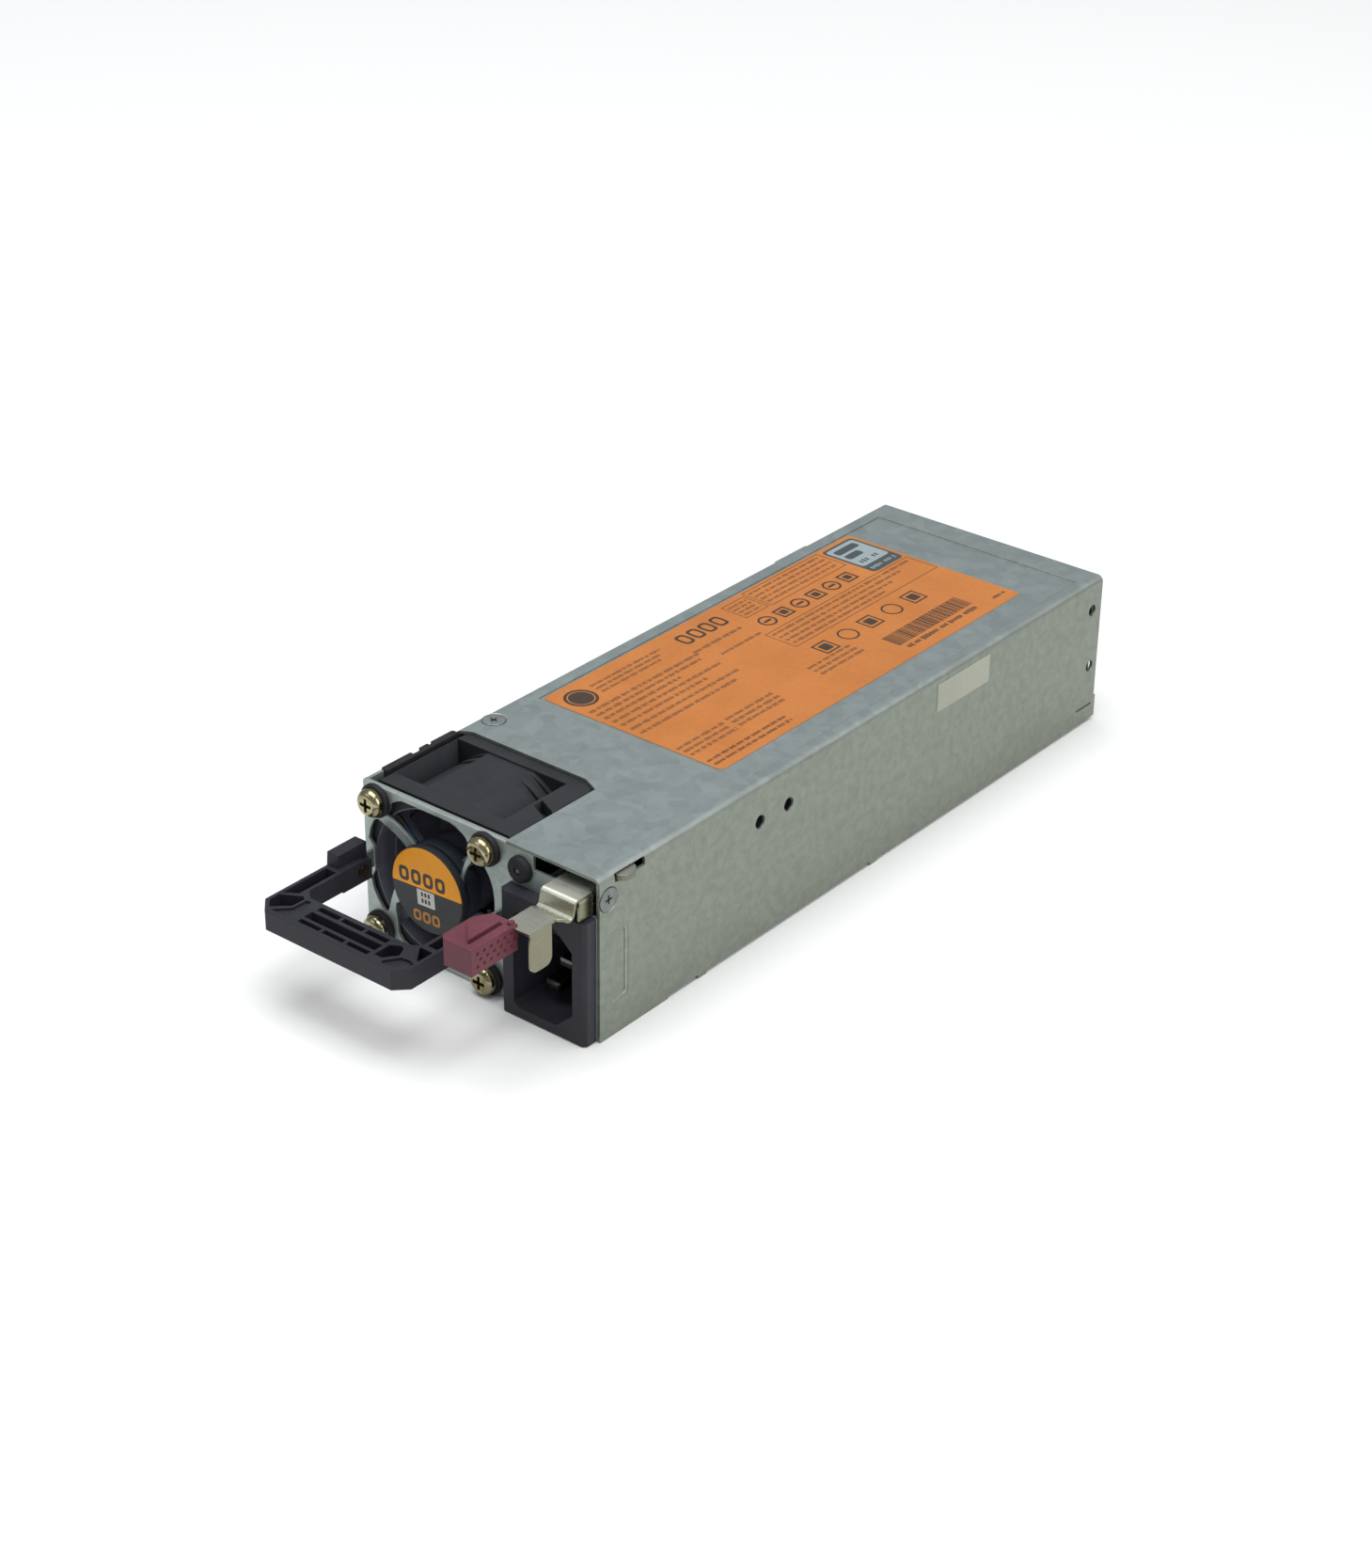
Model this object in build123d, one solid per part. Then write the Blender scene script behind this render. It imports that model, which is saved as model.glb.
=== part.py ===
from build123d import *
import math
import os

# Slim hot-swap power supply module with a fan end, a mains inlet, a swing handle and a
# sprung release latch.  Drawn in "case" coordinates: x from the left wall, y from the front
# panel towards the rear, z up from the underside; shifted to the footprint centre on export.
os.makedirs("parts", exist_ok=True)

# ---- driving dimensions (mm) ----
W, L, H = 68.5, 194.5, 40.5        # case width, length, height
T = 0.8                            # case sheet
BEND = 1.6                         # outside bend radius of the cover
WALL_Z = 0.9                       # lower edge of the cover walls
LIP_Y = 23.0                       # length of the deeper wall at the front right
FAN_X0, FAN_X1 = 1.5, 41.2         # fan body, left and right faces
FAN_Z0, FAN_Z1 = 0.85, 39.65       # fan body, underside and top
FAN_D = 32.0                       # fan depth
FX, FZ, FY = 20.3, 20.15, 1.2      # fan axis and front face
FAN_PITCH = 32.6                   # fan screw pitch
BORE, THROAT = 18.2, 17.7          # fan duct, inside radius at the front and behind the flange
DUCT_X, DUCT = 18.4, 20.1          # outside of the duct, its axis and radius
INX, INZ = 55.6, 14.8              # centre of the mains inlet opening
IN_W, IN_H = 16.7, 24.2            # opening of the mains inlet
IN_Y = -3.8                        # front face of the inlet frame
LEDX, LEDZ = 46.6, 35.2            # status light
PIV_Y, PIV_Z = -5.7, 21.1          # handle pivot
HX0, HX1, HY = -0.3, 43.2, -34.0   # handle outline
HZ0, HZ1 = 18.6, 23.6              # handle underside and top
FLEX_Y, FLEX_X = 49.3, 66.1        # latch flexure line
LT = 0.6                           # latch sheet
PL_Z = 37.2                        # top of the latch's upper plate
FW_Z = 34.0                        # top of the latch's forward plate
BZ0, BZ1 = 4.2, 5.8                # main board


def bx(x0, y0, z0, x1, y1, z1):
    return Pos((x0 + x1) / 2, (y0 + y1) / 2, (z0 + z1) / 2) * Box(x1 - x0, y1 - y0, z1 - z0)


def cx(y, z, r, x0, x1):
    return Pos((x0 + x1) / 2, y, z) * Rot(0, 90, 0) * Cylinder(r, x1 - x0)


def cy(x, z, r, y0, y1):
    return Pos(x, (y0 + y1) / 2, z) * Rot(90, 0, 0) * Cylinder(r, y1 - y0)


def cz(x, y, r, z0, z1):
    return Pos(x, y, (z0 + z1) / 2) * Cylinder(r, z1 - z0)


def prism_x(pts, x0, x1):
    f = make_face(Polyline(*[(x0, a, b) for a, b in pts], close=True))
    return extrude(f, amount=x1 - x0, dir=(1, 0, 0))


def prism_y(pts, y0, y1):
    f = make_face(Polyline(*[(a, y0, b) for a, b in pts], close=True))
    return extrude(f, amount=y1 - y0, dir=(0, 1, 0))


def prism_z(pts, z0, z1):
    f = make_face(Polyline(*[(a, b, z0) for a, b in pts], close=True))
    return extrude(f, amount=z1 - z0, dir=(0, 0, 1))


def strip(points, t):
    """Closed outline of a bent sheet: centre line 'points', thickness t."""
    left, right = [], []
    n = len(points)
    for i, (a, b) in enumerate(points):
        pa = points[max(i - 1, 0)]
        pb = points[min(i + 1, n - 1)]
        d = math.hypot(pb[0] - pa[0], pb[1] - pa[1])
        nx, ny = -(pb[1] - pa[1]) / d, (pb[0] - pa[0]) / d
        if 0 < i < n - 1:
            s0 = (a - pa[0], b - pa[1])
            s1 = (pb[0] - a, pb[1] - b)
            h0, h1 = math.hypot(*s0), math.hypot(*s1)
            c = (s0[0] * s1[0] + s0[1] * s1[1]) / (h0 * h1)
            k = 1.0 / max(0.3, math.sqrt((1 + c) / 2))
        else:
            k = 1.0
        left.append((a + nx * t / 2 * k, b + ny * t / 2 * k))
        right.append((a - nx * t / 2 * k, b - ny * t / 2 * k))
    return left + right[::-1]


def arc_pts(c, r, a0, a1, n=7):
    return [(c[0] + r * math.cos(math.radians(a0 + (a1 - a0) * i / (n - 1))),
             c[1] + r * math.sin(math.radians(a0 + (a1 - a0) * i / (n - 1)))) for i in range(n)]


def joined(items):
    out = items[0]
    for s in items[1:]:
        out = out + s
    return out


def solids_of(shape):
    return list(shape.solids())


parts = {}


def put(name, *shapes):
    sol = []
    for s in shapes:
        sol += solids_of(s)
    moved = [Pos(-W / 2, -L / 2, 0) * s for s in sol]
    parts[name] = moved[0] if len(moved) == 1 else Compound(children=moved)


# ---------------------------------------------------------------- fasteners of the case
def csk_side(y, z, e=0.0):
    """Flat-head screw in the right wall, axis x; e widens it to the sink it sits in."""
    cone = Pos(W - T / 2, y, z) * Rot(0, 90, 0) * Cone(2.0 + e, 2.8 + e, T)
    return cone + cx(y, z, 1.2, W - 1.6, W - T)


def csk_top(x, y, e=0.0):
    cone = Pos(x, y, H - T / 2) * Cone(2.0 + e, 2.8 + e, T)
    return cone + cz(x, y, 1.2, H - 2.2, H - T)


side_screw = csk_side(2.9, 34.7)
top_screw = csk_top(3.6, 38.9)
side_cross = bx(W - 0.6, 1.8, 34.45, W + 1, 4.0, 34.95) + bx(W - 0.6, 2.65, 33.6, W + 1, 3.15, 35.8)
top_cross = bx(2.5, 38.65, H - 0.6, 4.7, 39.15, H + 1) + bx(3.35, 37.8, H - 0.6, 3.85, 40.0, H + 1)
put("cover_screws", side_screw - side_cross, top_screw - top_cross)

# ---------------------------------------------------------------- cover
outer = bx(0, 0, WALL_Z, W, L, H)
outer = fillet(outer.edges().filter_by(Axis.Y).group_by(Axis.Z)[-1], BEND)
inner = bx(T, -1, -1, W - T, L + 1, H - T)
inner = fillet(inner.edges().filter_by(Axis.Y).group_by(Axis.Z)[-1], BEND - T)
cover = outer - inner
cover = cover + bx(W - T, 0, 0, W, LIP_Y, WALL_Z + 0.2)                 # deeper wall by the inlet
cover = cover + bx(W - T, 33.4, 0.1, W, 36.4, WALL_Z + 0.2)             # edge hooks
cover = cover + bx(W - T, 97.8, 0.1, W, 100.8, WALL_Z + 0.2)
cover = cover + bx(W - T, L - 0.3, WALL_Z, W, L + 0.75, 6.8)            # rear corner tongue
cover = cover + bx(-1.5, 150.4, 38.0, 0.4, 163.2, 38.8)                 # keying tab
# window over the fan
cover = cover - prism_z([(-2, -2), (42.3, -2), (42.3, 29.2), (37.6, 31.4), (3.7, 31.5), (0.9, 29.8), (-2, 29.8)], -1, H + 2)
# recess for the rating label
cover = cover - bx(4.4, 53.3, H - 0.25, 65.1, 187.0, H + 1)
# holes in the right wall
for y, z, r in ((190.4, 32.4, 1.5), (191.1, 16.5, 1.5), (54.7, 30.8, 1.7), (65.1, 30.8, 1.7)):
    cover = cover - cx(y, z, r, W - 2, W + 1)
cover = cover - bx(W - 2, 186.7, 4.85, W + 1, 193.2, 5.35)
cover = cover - bx(W - 1.9, 4.9, 37.9, W + 1, 14.8, 39.9)               # latch tooth slot below the bend
# pressed pocket of the right wall that ramps inwards towards the rear
ramp = prism_z([(W + 1, 3.4), (W, 3.4), (W - 0.45, 9.3), (W + 1, 9.3)], 8.4, 25.9)
round_off = bx(W - 1, 2.0, 8.4, W + 2, 9.3, 25.9)
round_off = fillet(round_off.edges().filter_by(Axis.X).group_by(Axis.Y)[-1], 1.4)
cover = cover - (ramp & round_off)
# blind holes of the left wall, matching the right
for y, z, r in ((190.4, 32.4, 1.5), (191.1, 16.5, 1.5)):
    cover = cover - cx(y, z, r, -1, 2)
cover = cover - csk_side(2.9, 34.7, 0.28) - csk_top(3.6, 38.9, 0.28)
put("top_cover", cover)

# ---------------------------------------------------------------- tray
tray = bx(0.85, 0.9, 0, W - 0.85, L - 0.9, T)
tray = tray - bx(-1, -1, -1, 42.4, 33.6, 2)
tray = tray + bx(0.85, 33.6, 0, 1.6, L - 0.9, 14)
tray = tray + bx(W - 1.6, 23.6, 0, W - 0.85, L - 0.9, 14)
ear = bx(0.85, 34.5, 13, 1.6, 43.5, H - T) + bx(0.85, 34.5, H - T - 0.8, 7.0, 43.5, H - T)
tray = tray + (ear & inner)                                             # ear under the cover
tray = tray - cz(3.6, 38.9, 1.2, H - 3, H)
for y in (60, 80, 100, 120, 140, 160):                                   # underside vent slots
    tray = tray - bx(14, y, -1, 30, y + 2.4, 2) - bx(38, y, -1, 54, y + 2.4, 2)
put("base_tray", tray)

# ---------------------------------------------------------------- front panel
panel = prism_y([(0, 0.3), (W - 0.85, 0.3), (W - 0.85, 31.1), (61.5, 31.1), (61.5, 36.1), (50.0, 36.1),
                 (50.0, H - T - 0.05), (42.4, H - T - 0.05), (42.2, 40.3), (0, 40.3)], 0, T)
panel = fillet(panel.edges().filter_by(Axis.X).filter_by(
    lambda e: abs(e.center().Z - 40.3) < 0.01 and abs(e.center().Y) < 0.01), 0.5)
panel = panel + bx(0, 0.3, 39.5, 42.2, 1.15, 40.3)                      # top edge turned back
# fan opening in four petals, parted by swirling strips that run to a round hub plate
HUB = 8.8
P2 = FAN_PITCH / 2


def rim(a0, a1, n=9):
    return arc_pts((FX, FZ), HUB, a0, a1, n)


petals = [
    [(6.4, 33.9), (6.3, 35.3), (7.2, 36.2), (8.2, 36.9), (9.2, 37.7), (10.2, 38.3), (11.8, 38.9), (26.0, 38.9), (27.6, 38.6),
     (29.5, 37.6), (30.6, 36.6), (31.2, 35.6), (31.5, 34.4), (31.2, 32.8), (30.0, 30.2), (29.4, 28.6), (28.9, 27.0), (28.0, 25.7)]
    + rim(35, 118) + [(14.8, 29.3), (13.2, 30.6), (10.3, 32.2)],
    [(4.4, 31.7), (9.3, 29.8), (11.5, 28.5), (12.6, 27.6)] + rim(140, 196) + [
        (9.6, 16.4), (8.4, 15.2), (7.5, 12.8), (6.8, 10.0), (6.2, 8.6), (5.2, 8.2), (4.4, 9.0), (3.3, 10.5), (2.0, 12.8),
        (1.3, 15.4), (2.7, 18.2), (2.7, 24.0), (1.1, 25.8), (1.7, 28.5), (2.8, 30.8), (3.4, 31.4)],
    [(9.9, 12.6), (8.7, 11.6), (8.6, 10.0), (9.0, 7.5), (9.0, 5.0), (9.3, 3.8), (10.5, 2.3), (12.0, 1.75), (27.5, 1.75), (29.0, 2.2),
     (31.0, 3.3), (32.5, 4.6), (32.8, 6.4), (28.9, 8.2), (26.0, 9.8), (24.4, 11.1)] + rim(298, 232) + [(12.0, 13.2)],
    [(32.2, 31.6), (30.6, 29.2), (29.6, 26.7), (29.2, 24.4)] + rim(15, -42) + [
        (26.6, 12.8), (27.7, 11.9), (29.9, 10.6), (34.8, 8.7), (36.3, 9.6), (37.6, 11.8), (38.4, 15.0), (38.6, 18.0), (38.6, 24.5),
        (38.2, 27.0), (37.5, 29.0), (36.3, 31.0), (35.2, 32.2), (33.4, 32.4)],
]
seats = [cy(FX + sx * P2, FZ + sz * P2, 3.8, -2, 3) for sx in (-1, 1) for sz in (-1, 1)]
for outline in petals:
    petal = prism_y(outline, -1, 2)
    for seat in seats:
        petal = petal - seat
    panel = panel - petal
for sx in (-1, 1):
    for sz in (-1, 1):
        panel = panel - cy(FX + sx * P2, FZ + sz * P2, 3.0, -1, 2)
panel = panel - cy(LEDX, LEDZ, 2.65, -1, 2)
panel = panel - bx(45.6, -1, 1.65, 65.4, 2, 28.9)                       # inlet cut-out
panel = panel + bx(0, 0.2, 0.3, T, 5.8, 40.2)                           # left side flange
panel = panel + bx(W - 1.65, 0.2, 1.7, W - 0.85, 4.8, 31.1)             # right side flange
panel = panel + bx(W - 1.65, T, 30, W - 0.85, 4.8, 38.8)
panel = panel - cx(2.9, 34.7, 1.2, W - 3, W)
panel = panel + bx(43.0, 0.2, T, 45.4, 8.0, T + 0.8) + bx(45.0, T, T, 66.0, 8.0, T + 0.8)
# two ears that carry the handle pins
for x0 in (1.7, 40.6):
    ear = bx(x0, PIV_Y, PIV_Z - 2.2, x0 + 0.8, 0.2, PIV_Z + 2.2) + cx(PIV_Y, PIV_Z, 2.2, x0, x0 + 0.8)
    panel = panel + ear - cx(PIV_Y, PIV_Z, 1.3, x0 - 1, x0 + 2)
put("front_panel", panel)

# ---------------------------------------------------------------- rear panel
rear = bx(1.65, L - 1.7, T, W - 1.65, L - 0.9, H - T - 0.05)
rear = rear - bx(10.5, L - 3, 3.5, 58.0, L, 6.5)
for i in range(14):
    for k in range(6):
        x = 7.2 + i * 4.2 + (2.1 if k % 2 else 0)
        z = 12.5 + k * 4.2
        if x < 64:
            rear = rear - cy(x, z, 1.6, L - 3, L)
put("rear_panel", rear)

# ---------------------------------------------------------------- labels
lab = bx(5.0, 54.0, H - 0.25, 58.0, 172.8, H - 0.13)
lab = fillet(lab.edges().filter_by(Axis.Z), 1.5)
put("rating_label", lab)
st = bx(W, 122.6, 30.7, W + 0.1, 144.3, 38.1)
put("side_sticker", st)

# ---------------------------------------------------------------- fan
fy0, fy1 = FY, FY + FAN_D
frame = bx(FAN_X0, fy0, FAN_Z0, FAN_X1, fy1, FAN_Z1)
frame = fillet(frame.edges().filter_by(Axis.Y), 1.2)
# between the end flanges the body is cut back to the duct, which has a flat on top and below
body = cy(DUCT_X, FZ, DUCT, fy0, fy1) & bx(-20, 0, FZ - 19.0, 80, 60, FZ + 19.0)
pocket = bx(2.4, 7.5, 26.6, 34.9, 28.1, 50) + bx(2.4, 7.5, -10, 34.9, 28.1, 13.7)
frame = frame - (pocket - body)
for g0, g1 in ((22.0, 23.7), (25.4, 27.1)):                             # grooves that deepen down the duct's shoulders
    frame = frame - prism_y([(24.9, 39.2), (27.0, 37.87), (29.0, 36.3), (31.0, 34.75), (33.0, 33.0), (34.9, 30.8), (34.9, 45), (24.9, 45)], g0, g1)
    frame = frame - prism_y([(11.9, 39.2), (10.0, 37.8), (8.0, 36.15), (6.0, 34.4), (4.0, 32.4), (2.4, 30.3), (2.4, 45), (11.9, 45)], g0, g1)
frame = frame - bx(FAN_X0 - 1, fy0 - 1, 38.95, FAN_X1 + 1, 2.9, 45)     # gap behind the panel's top edge
frame = frame - prism_z([(35.6, 16.3), (35.6, 19.2), (42, 16.1), (42, 13.2)], 36.5, 45)     # lead notch
frame = frame - cy(FX, FZ, BORE, fy0 - 1, 7.0) - cy(FX, FZ, THROAT, fy0, fy1 + 1)
hub = cy(FX, FZ, 10.2, fy0, 4.6)
strut = bx(-1.1, 0, 9.5, 1.1, 2.0, BORE + 0.4)
for a in (43, 133, 223, 313):
    hub = hub + Pos(FX, 2.9, FZ) * Rot(0, a, 0) * strut
frame = frame + hub
frame = frame - cy(FX, FZ, 1.54, fy0 + 0.6, fy0 + 4)                    # shaft bearing
for sx in (-1, 1):
    for sz in (-1, 1):
        frame = frame - cy(FX + sx * P2, FZ + sz * P2, 1.75, fy0 - 1, 7.4)
put("fan_frame", frame)

rotor = cy(FX, FZ, 9.4, fy0 + 4.0, fy1 - 1.5)
rotor = fillet(rotor.edges().filter_by(GeomType.CIRCLE).sort_by(Axis.Y)[-1], 1.5)
limit = cy(0, 0, THROAT - 0.4, 0, 40)
blade = Pos(0, 16.2, 13.6) * Rot(0, 0, -40) * Box(0.9, 20, 10.4)
blade = blade & limit
for i in range(7):
    rotor = rotor + Pos(FX, 0, FZ) * Rot(0, i * 360 / 7 + 8, 0) * blade
rotor = rotor + cy(FX, FZ, 1.5, fy0 + 0.9, fy0 + 5)
put("fan_rotor", rotor)

grom, fscr = [], []
for sx in (-1, 1):
    for sz in (-1, 1):
        gx, gz = FX + sx * P2, FZ + sz * P2
        gm = cy(gx, gz, 4.05, -1.2, 0)
        gm = fillet(gm.edges().filter_by(GeomType.CIRCLE).sort_by(Axis.Y)[0], 0.5)
        rear_flange = cy(gx, gz, 4.0, T, FY) & bx(0.85, -5, 0.5, 80, 5, 39.4)
        gm = gm + cy(gx, gz, 3.0, -0.2, T + 0.1) + rear_flange
        gm = gm - cy(gx, gz, 1.7, -3, 3)
        gm = gm & bx(-20, -5, 0.1, 80, 5, 60)                           # flat foot at the underside
        grom.append(gm)
        s = cy(gx, gz, 3.4, -3.6, -1.2)
        s = fillet(s.edges().filter_by(GeomType.CIRCLE).sort_by(Axis.Y)[0], 1.6)
        s = s + cy(gx, gz, 1.7, -1.3, 7.0)
        s = s - bx(gx - 1.7, -5, gz - 0.42, gx + 1.7, -2.2, gz + 0.42) - bx(gx - 0.42, -5, gz - 1.7, gx + 0.42, -2.2, gz + 1.7)
        fscr.append(s)
put("fan_grommets", *grom)
put("fan_screws", *fscr)

# hub puck and its disc
puck = cy(FX, FZ, 10.55, -1.8, 0)
puck = fillet(puck.edges().filter_by(GeomType.CIRCLE).sort_by(Axis.Y)[0], 0.2)
put("hub_puck", puck)
put("hub_disc", cy(FX, FZ, 10.35, -1.92, -1.8))

# fan leads in front of the upper left strut
lead_solids = []
ang = math.radians(138)
ux, uz = math.cos(ang), math.sin(ang)
for off in (0.3, 1.55):
    a = (FX + ux * 10.25 + uz * off, 2.2, FZ + uz * 10.25 - ux * off)
    b = (FX + ux * 17.8 + uz * off, 2.2, FZ + uz * 17.8 - ux * off)
    lead_solids.append(sweep(Plane(origin=a, z_dir=Vector(b[0] - a[0], 0, b[2] - a[2])) * Circle(0.58), path=Line(a, b)))
put("fan_leads", *lead_solids)

# foam strip that closes the left side beside the fan, with a relief for the fan's web
foam = bx(-0.45, 6.0, 1.0, FAN_X0, 29.4, 40.3)
foam = chamfer(foam.edges().filter_by(Axis.Z).group_by(Axis.X)[0], 0.4)
foam = foam - bx(-1, 15.6, 39.4, 0.5, 18.4, 41) - bx(-1, 21.0, 39.7, 0.3, 22.2, 41)
put("side_gasket", foam)

# ---------------------------------------------------------------- status light
bush = cy(LEDX, LEDZ, 3.15, -1.6, 0)
bush = fillet(bush.edges().filter_by(GeomType.CIRCLE).sort_by(Axis.Y)[0], 1.1)
bush = bush + cy(LEDX, LEDZ, 2.6, -0.2, 3.5)
bush = bush - cy(LEDX, LEDZ, 0.8, -3, 0) - cy(LEDX, LEDZ, 1.25, -0.6, 5)
put("led_bushing", bush)
lens = cy(LEDX, LEDZ, 0.75, -1.4, 0)
lens = fillet(lens.edges().filter_by(GeomType.CIRCLE).sort_by(Axis.Y)[0], 0.35)
lens = lens + cy(LEDX, LEDZ, 1.2, -0.5, 6.0)
put("led_lens", lens + (cy(LEDX, LEDZ, 1.25, 0.5, 3.0)))

# ---------------------------------------------------------------- mains inlet
def inlet_outline(w, h, c1, c2, r, e=0.0):
    x0, x1, z0, z1 = INX - w / 2 - e, INX + w / 2 + e, INZ - h / 2 - e, INZ + h / 2 + e
    return [(x0, z0 + r), (x0 + r, z0), (x1 - c1, z0), (x1, z0 + c2), (x1, z1 - c2), (x1 - c1, z1), (x0 + r, z1), (x0, z1 - r)]


inlet = bx(43.5, IN_Y, 0.3, 67.5, 0, 31.0)
inlet = chamfer(inlet.edges().filter_by(Axis.Z).group_by(Axis.Y)[0], 0.8)
inlet = inlet + bx(45.7, -0.2, 1.75, 65.3, 21.0, 28.8)
inlet = inlet - prism_y(inlet_outline(IN_W, IN_H, 4.8, 4.2, 1.2), IN_Y - 1, 15.0)
pins = []
for px, pz in ((INX - 2, INZ + 7), (INX - 2, INZ - 7), (INX + 2, INZ)):
    p = bx(px - 2, 1.5, pz - 1, px + 2, 25.0, pz + 1)
    p = chamfer(p.edges().group_by(Axis.Y)[0], 0.5)
    pins.append(p)
    inlet = inlet - bx(px - 2, 0, pz - 1, px + 2, 26, pz + 1)
put("inlet_body", inlet)
put("inlet_pins", *pins)


def wire(points, r, radii):
    path = FilletPolyline(*points, radius=radii)
    return sweep(Plane(origin=points[0], z_dir=(0, 1, 0)) * Circle(r), path=path)


lw = [wire([(INX - 2, 25.0, INZ + 7), (INX - 2, 32.0, INZ + 7), (54.6, 37.4, 15.4), (54.6, 37.4, BZ1)], 1.1, 3.4),
      wire([(INX - 2, 25.0, INZ - 7), (INX - 2, 28.4, INZ - 7), (52.0, 33.4, 13.6), (51.6, 36.6, 11.6), (51.6, 36.6, BZ1)], 1.1, [2.2, 1.7, 1.9]),
      wire([(INX + 2, 25.0, INZ), (INX + 2, 30.2, INZ), (59.6, 35.0, 10.9), (59.6, 35.0, BZ1)], 1.1, 2.8)]
put("inlet_leads", *lw)

# ---------------------------------------------------------------- handle
handle = prism_z([(HX0, PIV_Y), (HX0, HY + 3.3), (HX0 + 3.2, HY), (HX1 - 3.0, HY), (HX1, HY + 3.0), (HX1, PIV_Y),
                  (38.7, PIV_Y), (38.7, -22.6), (36.2, -24.2), (6.9, -24.2), (4.6, -22.2), (4.6, PIV_Y)], HZ0, HZ1)
for x0, x1, r in ((HX0, 4.6, 2.5), (38.7, HX1, 2.5)):
    handle = handle + cx(PIV_Y, PIV_Z, r, x0, x1)
# heel of the left arm
handle = handle + prism_x([(-12.0, 18.2), (-2.9, 18.2), (-2.9, 26.9), (-11.6, 26.9), (-11.9, 23.4)], HX0, 3.1)
handle = handle + prism_x([(-12.0, 18.2), (-2.9, 18.2), (-2.9, 23.0), (-12.0, 23.4)], HX0, 4.6)
# open channels of the arms and pockets of the corners
handle = handle - prism_z([(HX0 + 0.9, -13.0), (3.7, -13.0), (3.7, -24.4), (HX0 + 0.9, -26.4)], 19.8, 30)
handle = handle - bx(39.6, -22.0, 19.8, HX1 - 0.9, -9.6, 30)
handle = handle - prism_z([(HX0 + 0.9, -27.3), (HX0 + 0.9, -30.1), (2.6, -32.3), (6.2, -29.0), (6.4, -25.4), (5.2, -24.7)], 20.6, 30)
handle = handle - prism_z([(7.0, -25.4), (8.2, -25.2), (10.6, -30.6), (10.6, -32.9), (3.6, -32.9), (6.9, -29.4)], 22.9, 30)
handle = handle - prism_z([(33.2, -26.8), (33.2, -31.6), (35.4, -31.6), (37.6, -28.6), (36.6, -26.2), (35.4, -25.6)], 20.8, 30)
handle = handle - prism_z([(38.7, -23.4), (HX1 - 0.9, -23.4), (HX1 - 0.9, -28.0), (41.4, -27.2)], 20.8, 30)
handle = handle - prism_z([(36.4, -31.9), (38.5, -28.9), (40.6, -28.6), (HX1 - 0.9, -29.2), (HX1 - 0.9, -30.3), (39.8, -32.9), (36.4, -32.9)], 22.9, 30)
# three rows of slots in the grip
for k in range(3):
    handle = handle - bx(11.5 + 7.1 * k, -32.7, 20.2, 17.8 + 7.1 * k, -31.4, 30)
    handle = handle - bx(11.5 + 7.1 * k, -26.9, 20.2, 17.8 + 7.1 * k, -25.4, 30)
handle = handle - bx(11.3, -30.5, 20.2, 32.2, -28.0, 30)
# slots that swallow the ears, and pin bores
handle = handle - bx(1.2, -9.0, 10, 3.0, 0, 25.6) - bx(40.1, -9.0, 10, 41.9, 0, 30)
handle = handle - cx(PIV_Y, PIV_Z, 1.35, -2, 50)
put("handle", handle)
put("handle_pins", cx(PIV_Y, PIV_Z, 1.3, HX0 + 0.3, 5.0), cx(PIV_Y, PIV_Z, 1.3, 38.3, HX1 - 0.3))

# ---------------------------------------------------------------- release latch
# bent profile: upper plate, roll over, face down, trough, rise to the forward plate (y, z of the centre line)
mid_top, mid_fwd = PL_Z - LT / 2, FW_Z - LT / 2
r1, r2, r3 = 0.95, 1.25, 1.0
c1, c2 = (-4.4, mid_top - r1), (-7.06, 34.38)
h = math.radians(130)
p1 = (c2[0] + r2 * math.cos(h), c2[1] - r2 * math.sin(h))
run = (mid_fwd - p1[1] - r3 * (1 - math.sin(math.radians(50)))) / math.sin(math.radians(40))
p2 = (p1[0] - run * math.cos(math.radians(40)), p1[1] + run * math.sin(math.radians(40)))
c3 = (p2[0] - r3 * math.cos(math.radians(50)), p2[1] - r3 * math.sin(math.radians(50)))
prof = [(0.0, mid_top), (c1[0] + 0.1, mid_top)] + arc_pts(c1, r1, 90, 166, 10) + arc_pts(c2, r2, -14, -130, 14) \
    + arc_pts(c3, r3, 50, 90, 7) + [(c3[0] - 0.8, mid_fwd)]
lever = prism_x(strip(prof, LT), 56.9, 66.4)
lever = lever - prism_z([(66.41, -6.2), (66.3, -7.2), (65.9, -8.05), (65.2, -8.75), (64.4, -9.3), (64.4, -11), (68, -11), (68, -6.2)], 30, 35.2)
# upper plate and side leaf in one bend
bend = [(56.9, PL_Z), (64.9, PL_Z)] + arc_pts((64.9, PL_Z - 1.5), 1.5, 90, 0, 9)[1:] + [(66.4, 31.6), (65.8, 31.6)] \
    + arc_pts((64.9, PL_Z - 1.5), 0.9, 0, 90, 9) + [(56.9, PL_Z - LT)]
lever = lever + prism_y(bend, c1[0] + 0.3, 14.0)
lever = lever + prism_x([(13.0, 31.6), (22.0, 29.0), (FLEX_Y - 0.35, 28.6), (FLEX_Y - 0.35, 33.2), (22.0, 34.2), (13.0, 35.6)],
                        FLEX_X - 0.3, FLEX_X + 0.3)
# forward plate with the neck that enters the cap
yb = c3[0] - 0.4
lever = lever + prism_z([(56.9, yb), (56.9, -16.4), (53.0, -18.6), (53.0, -28.3), (58.4, -28.3), (58.4, -17.6),
                         (64.4, -17.4), (64.4, yb - 0.6), (63.8, yb)], FW_Z - LT, FW_Z)
# plug guard tab
tab = bx(63.8, -17.2, 24.0, 64.4, -10.5, FW_Z - 0.3)
tab = fillet(tab.edges().filter_by(Axis.X).group_by(Axis.Z)[0], 2.0)
lever = lever + tab
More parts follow.
